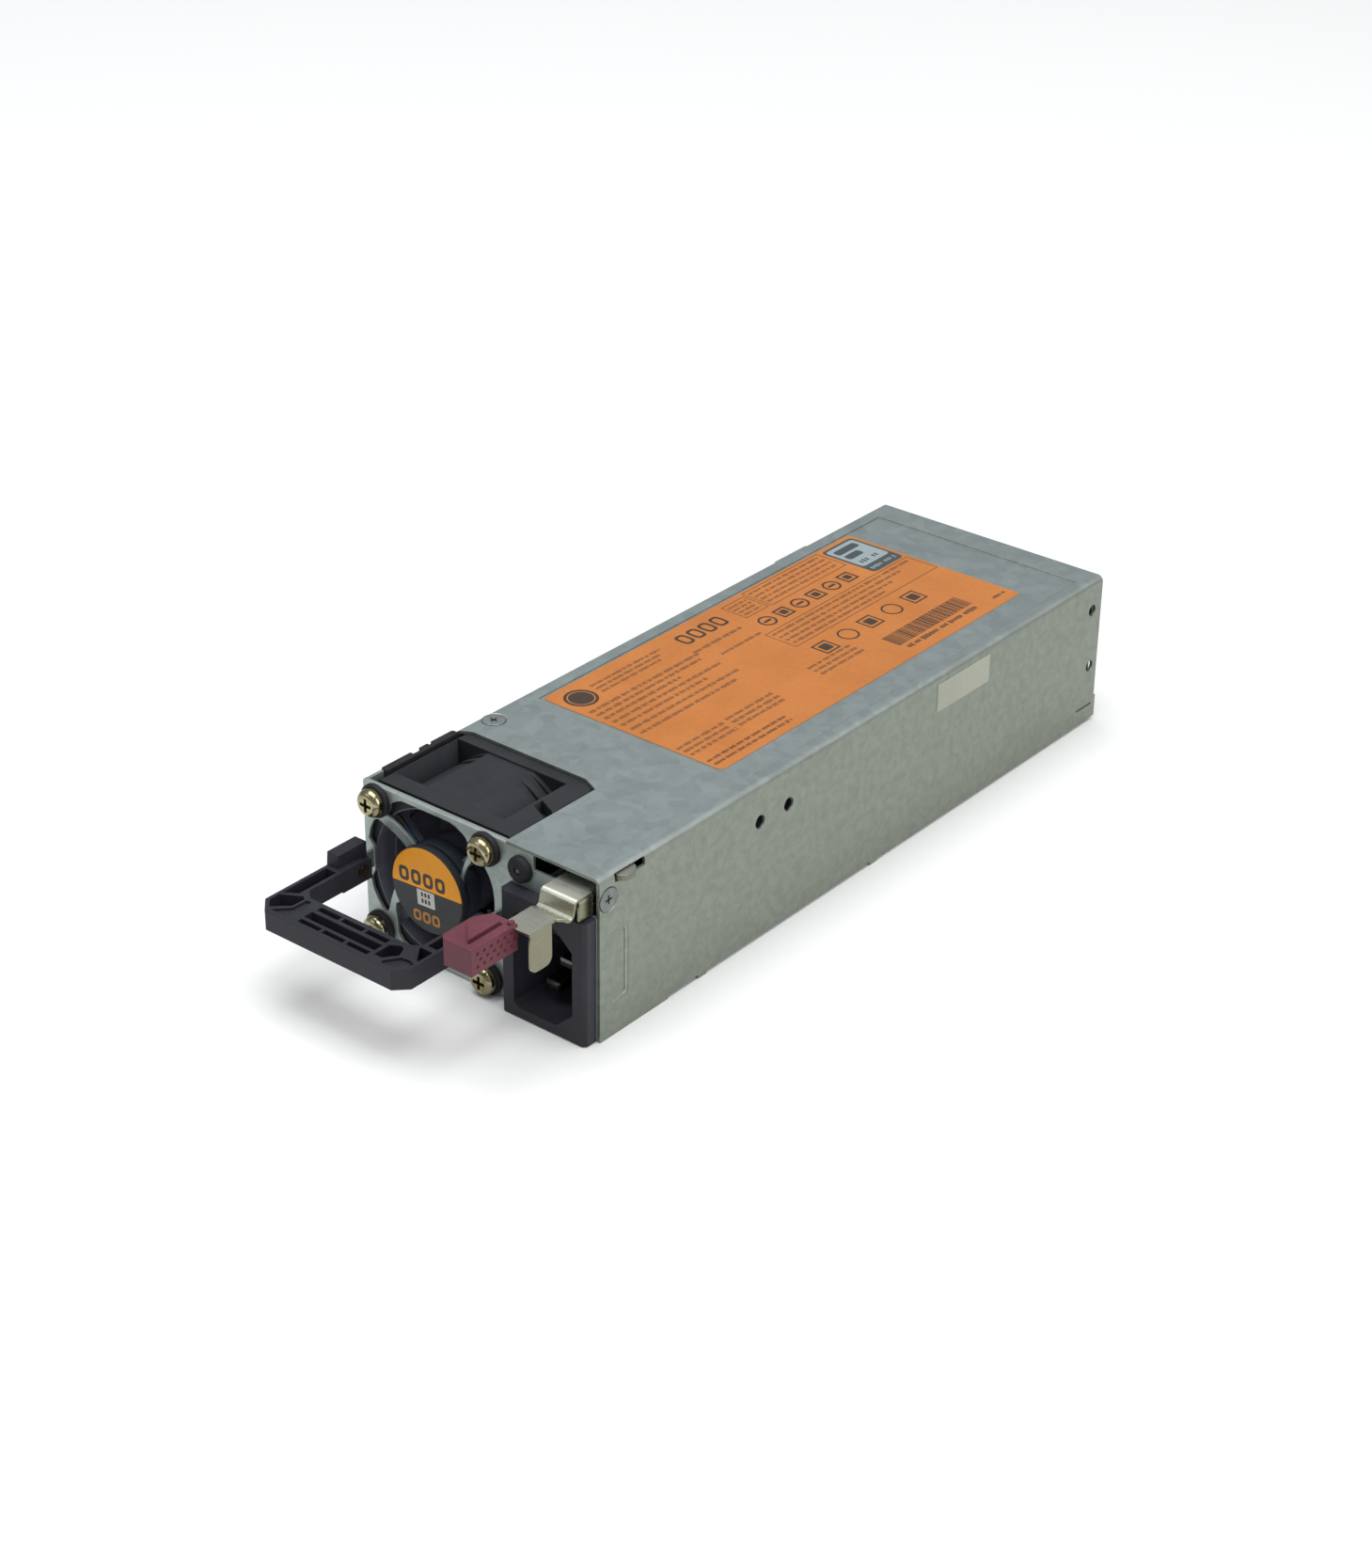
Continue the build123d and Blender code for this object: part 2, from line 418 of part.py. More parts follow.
# locking tooth on a tab that rises from the leaf
lever = lever + bx(65.8, 5.6, 35.5, 66.4, 12.6, 39.5)
lever = lever + prism_z([(65.9, 5.6), (68.3, 5.7), (69.4, 6.1), (70.0, 6.7), (70.25, 7.4), (70.3, 8.2), (70.2, 9.6), (69.0, 11.2), (65.9, 12.6)], 38.2, 39.5)
put("latch_lever", lever)

cap = bx(50.8, -30.5, 28.2, 60.0, -16.2, 34.6)
cap = chamfer(cap.edges().filter_by(Axis.Z).sort_by(lambda e: e.center().X + e.center().Y)[0], 1.5)
cap = cap - prism_z([(49, -15.0), (49, -20.4), (50.8, -20.2), (53.2, -16.2), (54, -15.0)], 20, 40)
cap = fillet(cap.edges().group_by(Axis.Z)[-1], 0.4)
cap = cap - bx(57.3, -28.7, 34.15, 57.9, -18.4, 36)
cap = cap + prism_z([(57.3, -28.5), (57.3, -18.6), (52.6, -23.5)], 34.1, 35.2)
cap = cap + prism_z([(58.7, -18.0), (59.6, -18.0), (59.6, -16.6), (58.7, -16.6)], 34.4, 35.2)
for k in range(3):
    for i in range(6):
        cap = cap - cx(-28.6 + i * 2.1 + (k % 2) * 1.0, 29.9 + k * 1.55, 0.42, 59.75, 61)
cap = cap - lever
put("latch_cap", cap)

tail = bx(W - T - 0.65, FLEX_Y + 0.35, 28.3, W - T - 0.05, 71.0, 33.4) + bx(FLEX_X - 0.3, FLEX_Y + 0.35, 28.6, W - T - 0.05, FLEX_Y + 0.95, 33.2)
rivets = []
for y in (54.7, 65.1):
    tail = tail - cx(y, 30.8, 1.7, 60, 70)
    rv = cx(y, 30.8, 1.7, W - T - 0.65, W - 0.3) + cx(y, 30.8, 2.4, W - T - 1.15, W - T - 0.65)
    rv = rv - cx(y, 30.8, 1.4, W - 1.75, W + 1)
    rivets.append(rv)
put("latch_tail", tail)
put("latch_rivets", *rivets)

# ---------------------------------------------------------------- board and its supports
posts = [(6, 40), (62, 68), (6, 90), (62, 128), (6, 146), (6, 187), (62, 187)]
sheet = bx(2.0, 34.2, T, W - 2.0, L - 3.0, T + 0.4)
board = bx(2.2, 34.2, BZ0, W - 2.2, L - 2.6, BZ1) + bx(12.0, L - 4.0, BZ0, 56.5, L + 7.0, BZ1)
st, bs = [], []
for x, y in posts:
    sheet = sheet - cz(x, y, 3.0, 0, 3)
    board = board - cz(x, y, 1.5, 0, 9)
    st.append(cz(x, y, 2.5, T, BZ0) - cz(x, y, 1.25, 1.4, 9))
    s = cz(x, y, 2.6, BZ1, BZ1 + 1.7)
    s = fillet(s.edges().filter_by(GeomType.CIRCLE).sort_by(Axis.Z)[-1], 0.9)
    s = s + cz(x, y, 1.2, 1.8, BZ1 + 0.5)
    s = s - bx(x - 1.5, y - 0.3, BZ1 + 0.9, x + 1.5, y + 0.3, 20) - bx(x - 0.3, y - 1.5, BZ1 + 0.9, x + 0.3, y + 1.5, 20)
    bs.append(s)
put("insulator_sheet", sheet)
put("main_board", board)
put("board_posts", *st)
put("board_screws", *bs)
fing = []
for i in range(21):
    x = 13.4 + i * 2.1
    fing.append(bx(x - 0.7, L - 0.5, BZ1, x + 0.7, L + 6.6, BZ1 + 0.08))
    fing.append(bx(x - 0.7, L - 0.5, BZ0 - 0.08, x + 0.7, L + 6.6, BZ0))
put("edge_contacts", *fing)


# ---------------------------------------------------------------- mains filter
def ring(x, y, z, R, r, base):
    t = Pos(x, y, z) * Rot(90, 0, 0) * Torus(R, r)
    return t + bx(x - base, y - r - 0.4, BZ1, x + base, y + r + 0.4, z - R - r + 1.8)


put("filter_choke_a", ring(25.0, 42.5, 18.4, 8.4, 3.4, 7.0))
put("filter_choke_b", ring(25.0, 55.0, 18.4, 8.4, 3.4, 7.0))
put("x_capacitor", fillet(bx(3.4, 46.0, BZ1, 12.0, 72.0, 25.0).edges().filter_by(Axis.Z), 0.8))
put("relay", fillet(bx(38.4, 38.0, BZ1, 50.0, 56.0, 21.0).edges().filter_by(Axis.Z), 0.6))
fuse = cy(55.4, 10.0, 2.6, 43.0, 62.0) + bx(52.6, 43.6, BZ1, 58.2, 46.6, 11.0) + bx(52.6, 58.4, BZ1, 58.2, 61.4, 11.0)
put("line_fuse", fuse)
yc = []
for y in (41.0, 50.0, 59.0):
    d = cx(y, 12.4, 3.8, 60.2, 63.6)
    d = d + bx(61.5, y - 2.6, BZ1, 62.3, y - 1.8, 10.5) + bx(61.5, y + 1.8, BZ1, 62.3, y + 2.6, 10.5)
    yc.append(d)
put("y_capacitors", *yc)

# ---------------------------------------------------------------- rectifier and boost stage
bsink = bx(28.0, 70.0, BZ1, 58.0, 72.4, 36.0)
for i in range(7):
    bsink = bsink + bx(29.5 + i * 4.4, 66.4, 12.0, 30.9 + i * 4.4, 70.2, 36.0)
put("bridge_heatsink", bsink)
bridge = bx(33.0, 72.4, 10.0, 53.0, 76.2, 29.0)
for i in range(4):
    bridge = bridge + bx(35.6 + i * 4.6, 73.8, BZ1, 36.8 + i * 4.6, 74.8, 10.5)
put("bridge_rectifier", bridge)
pch = Pos(14.6, 86.5, 20.6) * Rot(0, 90, 0) * Torus(9.4, 4.4)
put("boost_choke", pch + bx(9.4, 78.5, BZ1, 19.8, 94.5, 8.4))
cap_y0, cap_y1 = 80.0, 126.0
can = cy(48.0, 21.4, 14.6, cap_y0, cap_y1)
can = fillet(can.edges().filter_by(GeomType.CIRCLE), 1.2)
ringcut = cy(48.0, 21.4, 15.5, cap_y0 + 3.0, cap_y0 + 4.6) - cy(48.0, 21.4, 13.9, cap_y0 + 2.9, cap_y0 + 4.7)
can = can - ringcut + bx(43.0, 86.0, BZ1, 54.2, 122.0, 8.0)
put("bulk_capacitor", can)
psink = bx(26.4, 80.0, BZ1, 28.8, 126.0, 36.5)
for i in range(8):
    psink = psink + bx(22.6, 82.0 + i * 5.6, 14.0, 26.6, 83.4 + i * 5.6, 36.5)
put("boost_heatsink", psink)
fets = []
for y in (81.5, 97.0, 112.5):
    f = bx(28.8, y, 10.5, 33.0, y + 12.5, 28.5)
    for k in range(3):
        f = f + bx(30.6, y + 2.2 + k * 3.4, BZ1, 31.4, y + 3.4 + k * 3.4, 11.0)
    fets.append(f)
put("boost_transistors", *fets)

# ---------------------------------------------------------------- converter stage
wind = fillet(bx(6.4, 106.6, BZ1, 17.6, 123.4, 34.0).edges().filter_by(Axis.Z), 2.0)
core = bx(3.4, 101.0, 8.5, 20.6, 129.0, 31.5)
core = core - fillet(bx(6.4, 106.6, 0, 17.6, 123.4, 40).edges().filter_by(Axis.Z), 2.0)
put("transformer_winding", wind)
put("transformer_core", core)
put("resonant_choke", fillet(bx(9.4, 132.0, BZ1, 22.0, 144.0, 27.0).edges().filter_by(Axis.Z), 1.5))
sbw = bx(30.2, 132.5, BZ1, 39.8, 143.5, 18.0)
sbc = bx(27.4, 131.0, 8.6, 42.6, 145.0, 17.0) - bx(30.2, 132.5, 0, 39.8, 143.5, 30)
put("standby_transformer", sbw)
put("standby_core", sbc)
bars = []
for x in (13.0, 21.0, 29.0):
    bars.append(bx(x, 150.0, BZ1, x + 2.0, 181.0, 30.0) + bx(x, 178.0, BZ1, x + 2.0, 186.0, 12.0))
put("rectifier_bars", *bars)
och = Pos(54.2, 139.0, 17.8) * Rot(90, 0, 0) * Torus(7.2, 3.6)
put("output_choke", och + bx(48.0, 135.0, BZ1, 60.4, 143.0, 8.6))
cans = []
for x in (38.0, 47.0, 56.0):
    for y in (152.0, 161.5, 171.0):
        c = cz(x, y, 4.0, BZ1, 18.6)
        c = fillet(c.edges().filter_by(GeomType.CIRCLE).sort_by(Axis.Z)[-1], 0.7)
        c = c - (cz(x, y, 4.5, 8.2, 9.0) - cz(x, y, 3.6, 8.0, 9.2))
        cans.append(c)
put("output_capacitors", *cans)
put("output_busbar", bx(13.0, 187.4, BZ1, 57.0, 190.4, 9.4))
ctrl = bx(63.4, 79.0, BZ1, 64.8, 124.0, 33.0)
put("control_board", ctrl)
put("control_chips", bx(64.8, 80.0, 17.0, 66.0, 90.0, 27.0), bx(64.8, 96.0, 18.0, 66.0, 103.0, 25.0), bx(64.8, 110.0, 20.0, 66.0, 114.0, 26.0))

for name, shape in parts.items():
    export_step(shape, f"parts/{name}.step")
print(len(parts), "nodes")
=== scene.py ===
import math
import random

import bmesh
import bpy
from mathutils import Matrix, Vector


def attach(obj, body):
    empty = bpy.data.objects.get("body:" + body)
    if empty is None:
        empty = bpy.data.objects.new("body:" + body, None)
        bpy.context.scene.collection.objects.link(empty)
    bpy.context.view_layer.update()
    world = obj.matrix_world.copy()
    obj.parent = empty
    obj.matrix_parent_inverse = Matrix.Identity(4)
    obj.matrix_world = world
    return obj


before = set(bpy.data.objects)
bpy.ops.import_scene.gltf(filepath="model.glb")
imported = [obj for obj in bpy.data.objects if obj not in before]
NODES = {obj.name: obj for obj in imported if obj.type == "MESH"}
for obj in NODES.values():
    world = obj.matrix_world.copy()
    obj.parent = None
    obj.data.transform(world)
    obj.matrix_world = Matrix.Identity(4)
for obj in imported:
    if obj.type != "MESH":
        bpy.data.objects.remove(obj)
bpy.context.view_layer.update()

W, L, H = 68.5, 194.5, 40.5          # case width, length, height in mm


def case(x, y, z):
    """Case coordinates in mm (x from the left wall, y from the front panel, z up) to metres."""
    return Vector(((x - W / 2) / 1000, (y - L / 2) / 1000, z / 1000))


# ------------------------------------------------------------------ material kit
class Mat:
    """A Principled material with helpers for procedural detail in the object's own metres."""

    def __init__(self, name):
        self.m = bpy.data.materials.new(name)
        self.m.use_nodes = True
        self.nt = self.m.node_tree
        self.nt.nodes.clear()
        self.out = self.nt.nodes.new("ShaderNodeOutputMaterial")
        self.b = self.nt.nodes.new("ShaderNodeBsdfPrincipled")
        self.nt.links.new(self.b.outputs["BSDF"], self.out.inputs["Surface"])
        self.obj = self.nt.nodes.new("ShaderNodeTexCoord").outputs["Object"]

    def feed(self, socket, value):
        if isinstance(value, bpy.types.NodeSocket):
            self.nt.links.new(value, socket)
        elif value is not None:
            if isinstance(value, (tuple, list)) and len(value) == 3 and getattr(socket, "type", "") == "RGBA":
                value = (*value, 1.0)
            socket.default_value = value

    def set(self, **kw):
        for k, v in kw.items():
            self.feed(self.b.inputs[k.replace("_", " ")], v)
        return self

    def math(self, op, a, b=None, c=None, clamp=False):
        n = self.nt.nodes.new("ShaderNodeMath")
        n.operation = op
        n.use_clamp = clamp
        for i, v in enumerate((a, b, c)):
            if v is not None:
                self.feed(n.inputs[i], v)
        return n.outputs[0]

    def scaled(self, sx, sy, sz, vec=None, rot=(0, 0, 0)):
        n = self.nt.nodes.new("ShaderNodeMapping")
        self.feed(n.inputs["Vector"], vec or self.obj)
        n.inputs["Scale"].default_value = (sx, sy, sz)
        n.inputs["Rotation"].default_value = rot
        return n.outputs[0]

    def noise(self, scale, detail=3.0, rough=0.55, vec=None, distort=0.0, color=False):
        n = self.nt.nodes.new("ShaderNodeTexNoise")
        self.feed(n.inputs["Vector"], vec or self.obj)
        n.inputs["Scale"].default_value = scale
        n.inputs["Detail"].default_value = detail
        n.inputs["Roughness"].default_value = rough
        n.inputs["Distortion"].default_value = distort
        return n.outputs["Color" if color else "Fac"]

    def voronoi(self, scale, vec=None, feature="F1", rand=1.0, out="Color"):
        n = self.nt.nodes.new("ShaderNodeTexVoronoi")
        n.feature = feature
        self.feed(n.inputs["Vector"], vec or self.obj)
        n.inputs["Scale"].default_value = scale
        n.inputs["Randomness"].default_value = rand
        return n.outputs[out]

    def wave(self, scale, vec=None, distort=0.0, detail=2.0, direction="X", profile="SIN"):
        n = self.nt.nodes.new("ShaderNodeTexWave")
        n.bands_direction = direction
        n.wave_profile = profile
        self.feed(n.inputs["Vector"], vec or self.obj)
        n.inputs["Scale"].default_value = scale
        n.inputs["Distortion"].default_value = distort
        n.inputs["Detail"].default_value = detail
        return n.outputs["Fac"]

    def xyz(self, vec=None):
        n = self.nt.nodes.new("ShaderNodeSeparateXYZ")
        self.feed(n.inputs[0], vec or self.obj)
        return n.outputs

    def normal_z(self):
        g = self.nt.nodes.new("ShaderNodeNewGeometry")
        return self.xyz(g.outputs["Normal"])[2]

    def fit(self, v, a, b, c, d):
        n = self.nt.nodes.new("ShaderNodeMapRange")
        self.feed(n.inputs[0], v)
        for i, x in enumerate((a, b, c, d)):
            n.inputs[i + 1].default_value = x
        return n.outputs[0]

    def mix(self, fac, a, b, blend="MIX"):
        n = self.nt.nodes.new("ShaderNodeMix")
        n.data_type = "RGBA"
        n.blend_type = blend
        self.feed(n.inputs[0], fac)
        self.feed(n.inputs[6], a if isinstance(a, bpy.types.NodeSocket) else (*a, 1.0))
        self.feed(n.inputs[7], b if isinstance(b, bpy.types.NodeSocket) else (*b, 1.0))
        return n.outputs[2]

    def ramp(self, fac, stops, interp="LINEAR"):
        n = self.nt.nodes.new("ShaderNodeValToRGB")
        self.feed(n.inputs[0], fac)
        e = n.color_ramp.elements
        n.color_ramp.interpolation = interp
        while len(e) < len(stops):
            e.new(0.5)
        for el, (p, c) in zip(e, stops):
            el.position = p
            el.color = (*c, 1.0)
        return n.outputs[0]

    def bevel(self, radius_mm, samples=4):
        n = self.nt.nodes.new("ShaderNodeBevel")
        n.samples = samples
        n.inputs["Radius"].default_value = radius_mm / 1000
        return n.outputs[0]

    def bump(self, height, strength=0.3, dist_mm=0.1, normal=None):
        n = self.nt.nodes.new("ShaderNodeBump")
        n.inputs["Strength"].default_value = strength
        n.inputs["Distance"].default_value = dist_mm / 1000
        self.feed(n.inputs["Height"], height)
        if normal is not None:
            self.feed(n.inputs["Normal"], normal)
        return n.outputs[0]


def zinc(name, dark, mid, light, rough=0.42, bevel=0.25, metallic=0.7, rolled="y", wall=(0.78, 0.742, 0.622)):
    """Galvanised sheet: soft spangle, cloudy tone, rolling streaks, a fine tooth and a slow waviness; upright faces get
    painted shade and the bends a painted highlight.
    """
    m = Mat(name)
    warp = m.noise(90, 2, color=True)
    bent = m.mix(0.006, m.obj, warp)
    cell = m.xyz(m.voronoi(330, bent))[0]
    cell2 = m.xyz(m.voronoi(800, bent))[1]
    cloud = m.noise(85, 5, 0.62)
    st = (1100, 16, 1100) if rolled == "y" else (16, 1100, 1100)
    streak = m.noise(1.0, 2, 0.5, m.scaled(*st))
    fine = m.noise(2600, 2)
    tone = m.math("MULTIPLY_ADD", cell, 0.20, m.math("MULTIPLY_ADD", cell2, 0.14, m.math(
        "MULTIPLY_ADD", cloud, 0.55, m.math("MULTIPLY_ADD", streak, 0.20, m.math("MULTIPLY_ADD", fine, 0.22, -0.155)))))
    col = m.ramp(tone, [(0.15, dark), (0.5, mid), (0.85, light)])
    # painted shade: upright faces are multiplied by the wall colour, so the sides come out darker and yellower than the
    # tops
    lean = m.math("ABSOLUTE", m.normal_z())
    upright = m.fit(lean, 0.15, 0.85, 1.0, 0.0)
    col = m.mix(upright, col, wall, "MULTIPLY")
    # upright faces are darkened further in a noise mottle
    mottle = m.fit(m.noise(430, 4, 0.62, bent), 0.38, 0.64, 0.0, 1.0)
    col = m.mix(m.math("MULTIPLY", upright, mottle), col, (0.83, 0.845, 0.835), "MULTIPLY")
    # painted highlight: faces turned about 45 degrees from up, as on the sheet's bends, are lightened to a pale
    # grey-green
    bend_highlight = m.math("MULTIPLY", m.fit(m.math("ABSOLUTE", m.math("SUBTRACT", lean, 0.72)), 0.0, 0.26, 0.75, 0.0), m.fit(cloud, 0.3, 0.6, 0.55, 1.0))
    col = m.mix(bend_highlight, col, (0.52, 0.55, 0.50))
    r = m.math("MULTIPLY_ADD", cell, 0.07, m.math("MULTIPLY_ADD", cloud, 0.14, rough - 0.10))
    h = m.math("MULTIPLY_ADD", streak, 0.5, m.math("MULTIPLY_ADD", fine, 0.6, m.math("MULTIPLY", cell, 0.2)))
    slow = m.bump(m.noise(22, 2, 0.4), 0.05, 0.9, m.bevel(bevel))
    m.set(Base_Color=col, Metallic=metallic, Roughness=r, Normal=m.bump(h, 0.10, 0.03, slow))
    return m.m


def moulded(name, low, high, rough=0.5, grain=2300, strength=0.16, bevel=0.25, dust_and_light=0.35, spec=0.28, shade=None):
    """Moulded plastic: spark-eroded grain, flow clouds, worn edges, and pale dust on upward faces that is partly
    painted light, making the tops lighter.
    """
    m = Mat(name)
    cloud = m.noise(70, 4, 0.6)
    fine = m.noise(grain, 2, 0.5)
    speck = m.math("GREATER_THAN", m.noise(3600, 1), 0.72)
    # upward faces are paled: partly dust, partly painted light that makes the tops lighter than the sides
    up = m.fit(m.normal_z(), 0.35, 1.0, 0.0, dust_and_light)
    dust_and_top_light = m.math("MULTIPLY", up, m.fit(m.noise(260, 4, 0.65), 0.42, 0.75, 0.15, 1.0))
    col = m.mix(m.fit(m.math("MULTIPLY_ADD", fine, 0.45, m.math("MULTIPLY", cloud, 0.55)), 0.35, 0.65, 0.0, 1.0), low, high)
    col = m.mix(m.math("MULTIPLY", dust_and_top_light, 0.10), col, (0.16, 0.16, 0.175))
    col = m.mix(m.math("MULTIPLY", m.math("MULTIPLY", speck, up), 0.25), col, (0.22, 0.22, 0.23))
    if shade is not None:
        col = shade(m, col)
    r = m.math("MULTIPLY_ADD", fine, 0.14, m.math("MULTIPLY_ADD", cloud, 0.12, rough - 0.12))
    m.set(Base_Color=col, Roughness=r, Specular_IOR_Level=spec, Normal=m.bump(fine, strength, 0.04, m.bevel(bevel)))
    return m.m


def rubber(name, low, high):
    m = Mat(name)
    fine = m.noise(1700, 3, 0.6)
    bloom = m.noise(300, 4, 0.6)
    col = m.mix(m.fit(bloom, 0.35, 0.72, 0.0, 1.0), low, high)
    m.set(Base_Color=col, Roughness=m.fit(fine, 0.2, 0.8, 0.58, 0.80), Specular_IOR_Level=0.35,
          Normal=m.bump(fine, 0.22, 0.05, m.bevel(0.3)))
    return m.m


def plated(name, a, b, c, rough=0.22, bevel=0.2, tint=420, wall=None):
    """Bright plated metal with hue drift and fine handling marks."""
    m = Mat(name)
    drift = m.noise(tint, 3, 0.55, distort=0.4)
    col = m.ramp(drift, [(0.30, a), (0.50, b), (0.72, c)])
    # painted shade: when a wall colour is given, upright faces are multiplied by it and come out darker than the tops
    if wall is not None:
        col = m.mix(m.fit(m.math("ABSOLUTE", m.normal_z()), 0.1, 0.9, 1.0, 0.0), col, wall, "MULTIPLY")
    scr = m.noise(1.0, 2, 0.5, m.scaled(5200, 700, 5200, rot=(0.3, 0.2, 0.5)))
    fine = m.noise(3000, 2)
    m.set(Base_Color=col, Metallic=1.0, Roughness=m.math("MULTIPLY_ADD", scr, 0.18, m.math("MULTIPLY_ADD", drift, 0.14, rough - 0.15)),
          Normal=m.bump(m.math("ADD", scr, fine), 0.06, 0.02, m.bevel(bevel)))
    return m.m


def brushed(name, dark, light, axis="y", rough=0.30, bevel=0.2, wall=None, sheltered=None):
    m = Mat(name)
    st = {"y": (3400, 60, 3400), "x": (60, 3400, 3400), "z": (3400, 3400, 60)}[axis]
    hair = m.noise(1.0, 3, 0.6, m.scaled(*st))
    cloud = m.noise(160, 4, 0.6)
    col = m.mix(m.fit(m.math("MULTIPLY_ADD", hair, 0.3, m.math("MULTIPLY", cloud, 0.7)), 0.28, 0.72, 0.0, 1.0), dark, light)
    # painted shade: when a wall colour is given, upright faces are multiplied by it and come out darker than the tops
    if wall is not None:
        upright = m.fit(m.math("ABSOLUTE", m.normal_z()), 0.1, 0.9, 1.0, 0.0)
        col = m.mix(upright, col, wall, "MULTIPLY")
    if sheltered is not None:            # the tooth, further right than 0.3 mm inside the right wall's outer face, is darkened to a dull grey
        tip = m.math("GREATER_THAN", m.xyz()[0], (W / 2 - 0.3) / 1000)
        col = m.mix(m.math("MULTIPLY", tip, 0.62), col, (0.16, 0.165, 0.15))
    matt = m.math("MULTIPLY_ADD", hair, 0.10, m.math("MULTIPLY_ADD", cloud, 0.10, rough - 0.10))
    if sheltered is not None:            # the plate under the cover keeps its dull rolled skin
        matt = m.math("ADD", matt, m.fit(m.xyz()[2], sheltered / 1000, (sheltered + 0.4) / 1000, 0.0, 0.16))
    m.set(Base_Color=col, Metallic=1.0, Roughness=matt,
          Normal=m.bump(hair, 0.045, 0.02, m.bevel(bevel)))
    return m.m


def film(name, low, high, rough=0.38, spec=0.4):
    """Printed film or paper: faint fibre mottling and lie-flat ripples."""
    m = Mat(name)
    fibre = m.noise(900, 4, 0.6)
    cloud = m.noise(55, 3, 0.5)
    col = m.mix(m.fit(m.math("MULTIPLY_ADD", fibre, 0.4, m.math("MULTIPLY", cloud, 0.6)), 0.35, 0.66, 0.0, 1.0), low, high)
    m.set(Base_Color=col, Roughness=m.fit(cloud, 0.3, 0.7, rough - 0.06, rough + 0.08), Specular_IOR_Level=spec,
          Normal=m.bump(m.math("MULTIPLY_ADD", cloud, 1.0, m.math("MULTIPLY", fibre, 0.15)), 0.05, 0.15))
    return m.m


def windings(name, low, high, direction="Z", scale=420.0):
    """Enamelled wire laid side by side."""
    m = Mat(name)
    w = m.wave(scale, direction=direction, distort=0.6)
    n = m.noise(500, 3)
    m.set(Base_Color=m.mix(m.math("MULTIPLY_ADD", w, 0.7, m.math("MULTIPLY", n, 0.3)), low, high), Metallic=0.6,
          Roughness=m.fit(n, 0.3, 0.7, 0.22, 0.40), Normal=m.bump(w, 0.5, 0.3))
    return m.m


def board(name):
    """Circuit board: mask over tracks, with speckled glass weave and pads."""
    m = Mat(name)
    tr = m.math("GREATER_THAN", m.wave(160, direction="X", distort=5.0, detail=1.0), 0.62)
    weave = m.noise(1800, 2)
    col = m.mix(m.math("MULTIPLY", tr, 0.55), m.mix(weave, (0.008, 0.060, 0.026), (0.016, 0.095, 0.042)), (0.035, 0.16, 0.075))
    dots = m.math("LESS_THAN", m.voronoi(240, out="Distance"), 0.16)
    col = m.mix(m.math("MULTIPLY", dots, 0.8), col, (0.55, 0.53, 0.46))
    m.set(Base_Color=col, Roughness=m.fit(weave, 0.2, 0.8, 0.26, 0.42), Normal=m.bump(tr, 0.25, 0.05))
    return m.m


def use(node, material):
    o = NODES[node]
    o.data.materials.clear()
    o.data.materials.append(material)
    for p in o.data.polygons:
        p.material_index = 0


# ------------------------------------------------------------------ materials of the outside
FX, FZ = 20.3, 20.15                 # fan axis in case coordinates


def axis_radius(m):
    """Distance from the fan's axis in metres."""
    x, y, z = m.xyz()
    dx = m.math("SUBTRACT", x, (FX - W / 2) / 1000)
    dz = m.math("SUBTRACT", z, FZ / 1000)
    return m.math("SQRT", m.math("ADD", m.math("MULTIPLY", dx, dx), m.math("MULTIPLY", dz, dz)))


def duct_painted_light(m, col):
    """Painted light in the duct: inside the bore the plastic is painted a pale grey-blue standing in for light reaching
    the deep inside, faces turned towards +x are painted lighter as a painted highlight, and within 10.35 mm of the axis
    the hub area is a dark bluish grey.
    """
    r = axis_radius(m)
    behind = m.math("GREATER_THAN", m.xyz()[1], (7.05 - L / 2) / 1000)
    inside = m.math("LESS_THAN", r, m.math("MULTIPLY_ADD", behind, -0.00065, 0.01845))
    hub = m.math("LESS_THAN", r, 0.01035)
    duct_mottle = m.noise(500, 4, 0.6)
    g = m.nt.nodes.new("ShaderNodeNewGeometry")
    # painted highlight: faces turned towards +x, such as the pocket's left wall, are painted lighter
    painted_lit_face = m.fit(m.xyz(g.outputs["Normal"])[0], 0.6, 0.95, 0.0, 1.0)
    col = m.mix(painted_lit_face, col, m.mix(duct_mottle, (0.040, 0.043, 0.050), (0.066, 0.070, 0.080)))
    # painted light: inside the bore the colour is lifted to a pale grey-blue, standing in for light inside the black
    # duct
    col = m.mix(inside, col, m.mix(duct_mottle, (0.105, 0.105, 0.135), (0.200, 0.200, 0.250)))
    return m.mix(hub, col, m.mix(duct_mottle, (0.022, 0.030, 0.040), (0.044, 0.056, 0.068)))


# each zinc's wall colour gives its upright faces painted shade
M_CASE = zinc("m_case_zinc", (0.270, 0.313, 0.314), (0.303, 0.351, 0.352), (0.338, 0.387, 0.387))
M_PANEL = zinc("m_panel_zinc", (0.32, 0.365, 0.355), (0.375, 0.422, 0.412), (0.43, 0.478, 0.463), rough=0.38, rolled="x", wall=(0.97, 0.99, 0.97))
M_REAR = zinc("m_rear_zinc", (0.28, 0.305, 0.30), (0.325, 0.352, 0.347), (0.37, 0.40, 0.392), rolled="x")
for n_ in ("top_cover", "base_tray"):
    use(n_, M_CASE)
use("front_panel", M_PANEL)
use("rear_panel", M_REAR)

M_FAN = moulded("m_fan_plastic", (0.0128, 0.0142, 0.0172), (0.0200, 0.0220, 0.0262), rough=0.52, spec=0.3, shade=duct_painted_light)
